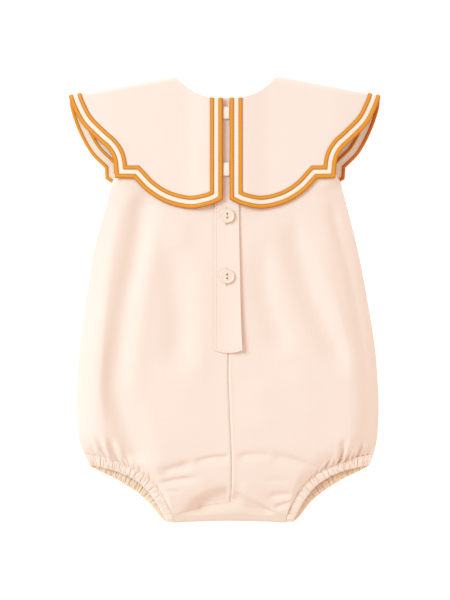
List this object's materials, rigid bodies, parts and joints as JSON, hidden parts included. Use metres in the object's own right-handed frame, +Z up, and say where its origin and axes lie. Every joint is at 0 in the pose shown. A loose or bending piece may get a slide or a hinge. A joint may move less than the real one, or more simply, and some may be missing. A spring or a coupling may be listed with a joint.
{
  "type": "baby bodysuit",
  "caption": "Sleeveless baby bodysuit laid flat, back up: bubble body, gathered leg casings, buttoned back placket and a wide scalloped collar with a triple border",
  "frame": {"origin": "bottom centre of the bounding box, on the surface that the garment lies on", "axes": "+Z up out of the surface, +Y from the crotch to the neck, +X to the right of the back view"},
  "size_m": [0.272, 0.3894, 0.0206],
  "materials": {
    "body_cloth": "matt woven cotton, warm peach",
    "collar_cloth": "matt woven cotton, pale peach",
    "trim_orange": "corded orange edging",
    "trim_ivory": "ivory cotton tape",
    "button": "cream gloss, two holes"
  },
  "bodies": {
    "root": {"back_left": "body_cloth", "back_right": "body_cloth", "front": "body_cloth", "crotch_gusset": "body_cloth", "leg_casing_back_left": "body_cloth", "leg_casing_back_right": "body_cloth", "leg_casing_front_left": "body_cloth", "leg_casing_front_right": "body_cloth", "placket": "body_cloth", "tab_upper": "trim_ivory", "tab_lower": "trim_ivory", "button_upper": "button", "button_lower": "button", "collar_back_left": "collar_cloth", "collar_back_right": "collar_cloth", "collar_front": "collar_cloth", "collar_binding_back_left": "trim_orange", "collar_binding_back_right": "trim_orange", "collar_binding_front": "trim_orange", "collar_tape_back_left": "trim_ivory", "collar_tape_back_right": "trim_ivory", "collar_tape_front": "trim_ivory", "collar_cord_back_left": "trim_orange", "collar_cord_back_right": "trim_orange", "collar_cord_front": "trim_orange"}
  },
  "joints": []
}
